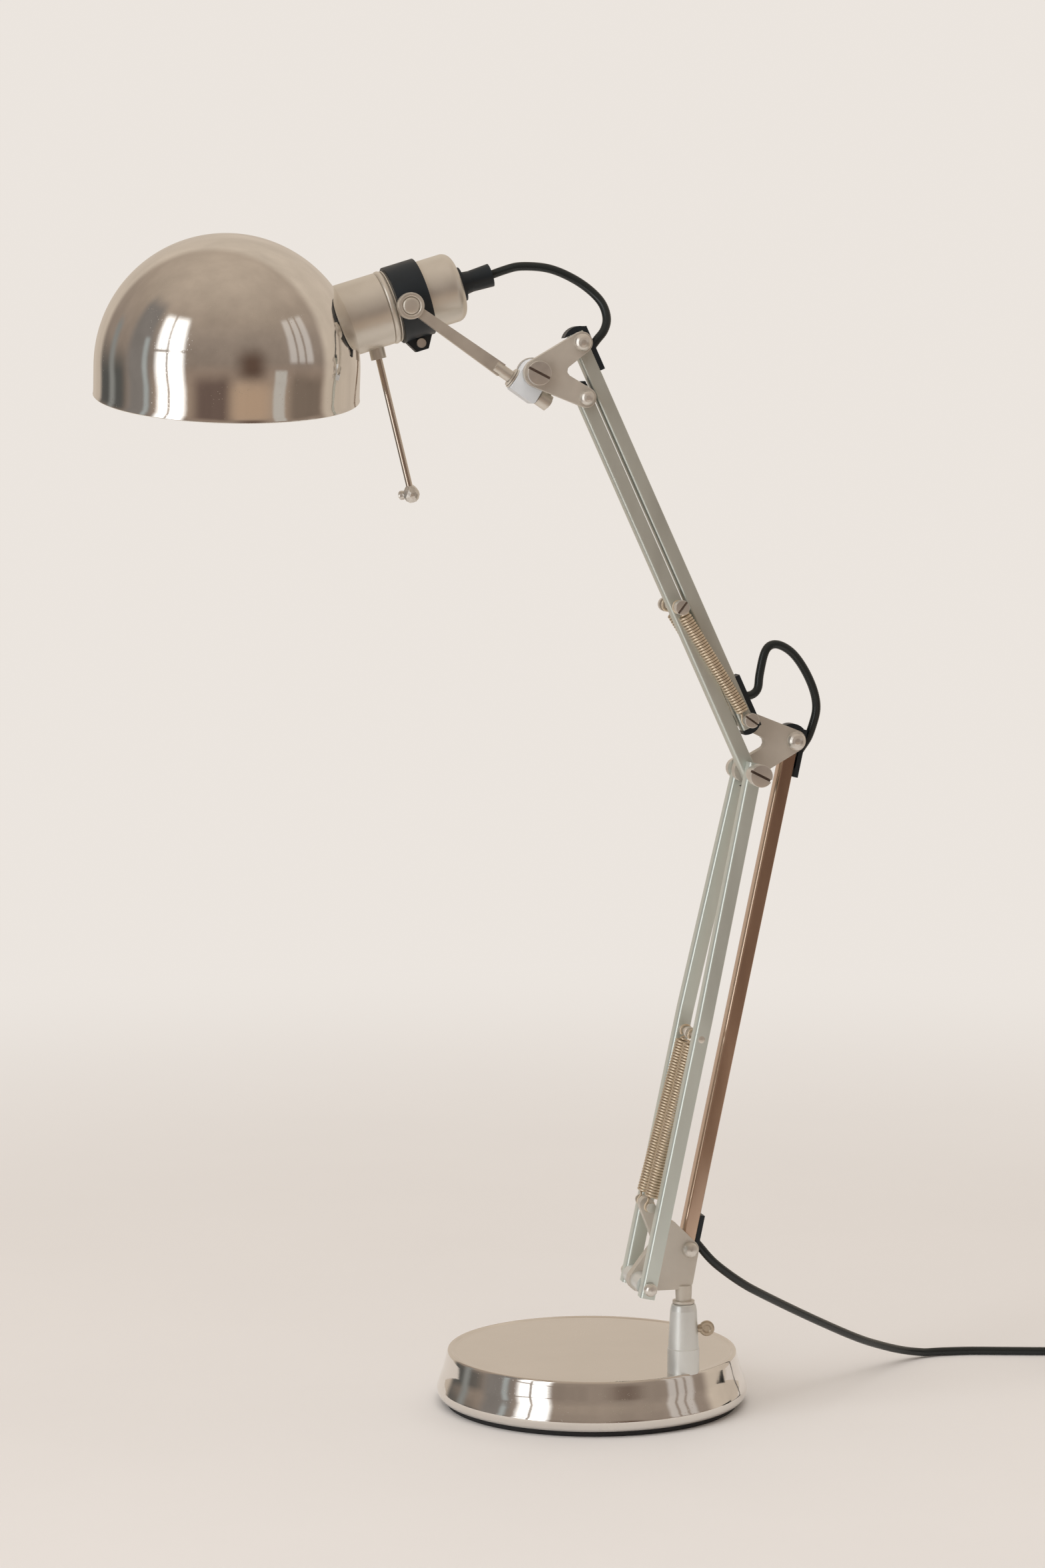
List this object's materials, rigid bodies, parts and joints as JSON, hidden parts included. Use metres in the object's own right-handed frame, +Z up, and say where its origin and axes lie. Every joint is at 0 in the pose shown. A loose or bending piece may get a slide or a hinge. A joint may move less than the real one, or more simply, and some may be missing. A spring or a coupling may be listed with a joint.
{
  "type": "desk lamp",
  "caption": "Spring balanced desk lamp: round weighted foot, two folding pairs of channel bars, domed metal shade on a tilting lampholder, black lead.",
  "frame": {"origin": "middle of the foot's underside, on the surface the lamp stands on", "axes": "+Z up, +X to the viewer's right, +Y away from the viewer; the arms' plane is turned 12.2 degrees from X"},
  "size_m": [0.6217, 0.2483, 0.5575],
  "materials": {
    "pad": "matt",
    "weight": "rough",
    "chrome": "polished",
    "nickel": "satin nickel plate",
    "steel": "plain",
    "bars": "satin nickel plate",
    "springs": "yellow passivated wire",
    "black": "matt",
    "white": "matt",
    "ceramic": "matt",
    "brass": "satin",
    "glass": "white coated",
    "cord": "satin"
  },
  "bodies": {
    "foot": {"base_pad": "pad", "base_weight": "weight", "base_cover": "chrome", "post": "nickel", "post_nut": "steel", "cord_lead": "cord", "cord_coil": "cord", "coil_tie": "black", "plug": "cord"},
    "thumb_screw": {"thumb_screw": "nickel"},
    "swivel_bracket": {"bracket_casting": "nickel", "bracket_bolt": "nickel", "bracket_spacers": "nickel", "cord_bar_rivet": "nickel", "spring_anchor": "steel", "lower_spring_near": "springs", "lower_spring_far": "springs", "cord_drop": "cord"},
    "lower_main_bars": {"lower_front_bar": "bars", "lower_back_bar": "bars", "lower_spring_pin": "nickel"},
    "lower_lead_bar": {"lower_cord_bar": "bars", "lower_cord_bar_caps": "black", "cord_lower_run": "cord"},
    "elbow": {"elbow_casting": "nickel", "elbow_screw": "nickel", "elbow_cord_bar_rivet": "nickel", "spring_stud": "nickel", "upper_spring_near": "springs", "upper_spring_far": "springs", "cord_elbow_loop": "cord"},
    "upper_main_bar": {"upper_plain_bar": "bars", "upper_plain_bar_caps": "black", "upper_spring_pin": "nickel"},
    "upper_lead_bar": {"upper_cord_bar": "bars", "upper_cord_bar_caps": "black", "cord_upper_run": "cord"},
    "head_bracket": {"head_casting": "nickel", "head_rivets": "nickel", "tilt_screw": "nickel", "cord_head_loop": "cord"},
    "clamp_block": {"tilt_block": "white"},
    "yoke": {"yoke_arm": "nickel", "yoke_washers": "nickel", "yoke_nut": "nickel"},
    "lampholder": {"pivot_button": "nickel", "holder_strap": "black", "strap_bolt": "steel", "rear_cup": "nickel", "cup_ring": "nickel", "front_cup": "nickel", "strain_relief": "black", "lamp_insert": "ceramic", "screw_shell": "brass", "bulb": "glass", "shade": "chrome", "handle_boss": "nickel", "handle_rod": "nickel", "handle_knob": "nickel"}
  },
  "joints": [
    {"name": "swivel", "type": "hinge", "parent": "foot", "child": "swivel_bracket", "pos_m": [0.04245, -0.04601, 0.06], "axis": [0, 0, 1], "range_deg": [-80, 80], "deforming": ["cord_drop"]},
    {"name": "thumb_turn", "type": "hinge", "parent": "foot", "child": "thumb_screw", "pos_m": [0.04245, -0.04601, 0.046], "axis": [1, 0, 0], "continuous": true},
    {"name": "lower_arm", "type": "hinge", "parent": "swivel_bracket", "child": "lower_lead_bar", "pos_m": [0.04465, -0.04553, 0.0841], "axis": [-0.2113, 0.9774, 0], "range_deg": [-35, 28], "deforming": ["cord_drop"]},
    {"name": "lower_main_turn", "type": "hinge", "parent": "swivel_bracket", "child": "lower_main_bars", "pos_m": [0.02095, -0.05065, 0.0705], "axis": [-0.2113, 0.9774, 0], "range_deg": [-36, 29], "deforming": ["lower_spring_near", "lower_spring_far"]},
    {"name": "elbow_turn", "type": "hinge", "parent": "lower_lead_bar", "child": "elbow", "pos_m": [0.0937, -0.03493, 0.3235], "axis": [-0.2113, 0.9774, 0], "range_deg": [-29, 36], "deforming": ["cord_elbow_loop"]},
    {"name": "upper_arm", "type": "hinge", "parent": "elbow", "child": "upper_lead_bar", "pos_m": [0.06786, -0.04051, 0.3349], "axis": [-0.2113, 0.9774, 0], "range_deg": [-75, 3], "deforming": ["cord_elbow_loop"]},
    {"name": "upper_main_turn", "type": "hinge", "parent": "elbow", "child": "upper_main_bar", "pos_m": [0.07, -0.04005, 0.3099], "axis": [-0.2113, 0.9774, 0], "range_deg": [-76, 4], "deforming": ["upper_spring_near", "upper_spring_far"]},
    {"name": "head_level", "type": "hinge", "parent": "upper_lead_bar", "child": "head_bracket", "pos_m": [-0.00939, -0.05722, 0.50834], "axis": [-0.2113, 0.9774, 0], "range_deg": [-4, 76], "deforming": ["cord_head_loop"]},
    {"name": "head_tilt", "type": "hinge", "parent": "head_bracket", "child": "clamp_block", "pos_m": [-0.02944, -0.06155, 0.49444], "axis": [-0.2113, 0.9774, 0], "range_deg": [-25, 30], "deforming": ["cord_head_loop"]},
    {"name": "head_turn", "type": "hinge", "parent": "clamp_block", "child": "yoke", "pos_m": [-0.03208, -0.06826, 0.48794], "axis": [-0.8055, -0.1742, 0.5664], "range_deg": [-27, 40], "deforming": ["cord_head_loop"]},
    {"name": "shade_tilt", "type": "hinge", "parent": "yoke", "child": "lampholder", "pos_m": [-0.08554, -0.07368, 0.52473], "axis": [-0.2113, 0.9774, 0], "range_deg": [-35, 40], "deforming": ["cord_head_loop"]}
  ],
  "couplings": [
    {"joint": "lower_main_turn", "follows": "lower_arm", "ratio": 1},
    {"joint": "elbow_turn", "follows": "lower_arm", "ratio": -1},
    {"joint": "upper_main_turn", "follows": "upper_arm", "ratio": 1},
    {"joint": "head_level", "follows": "upper_arm", "ratio": -1}
  ]
}
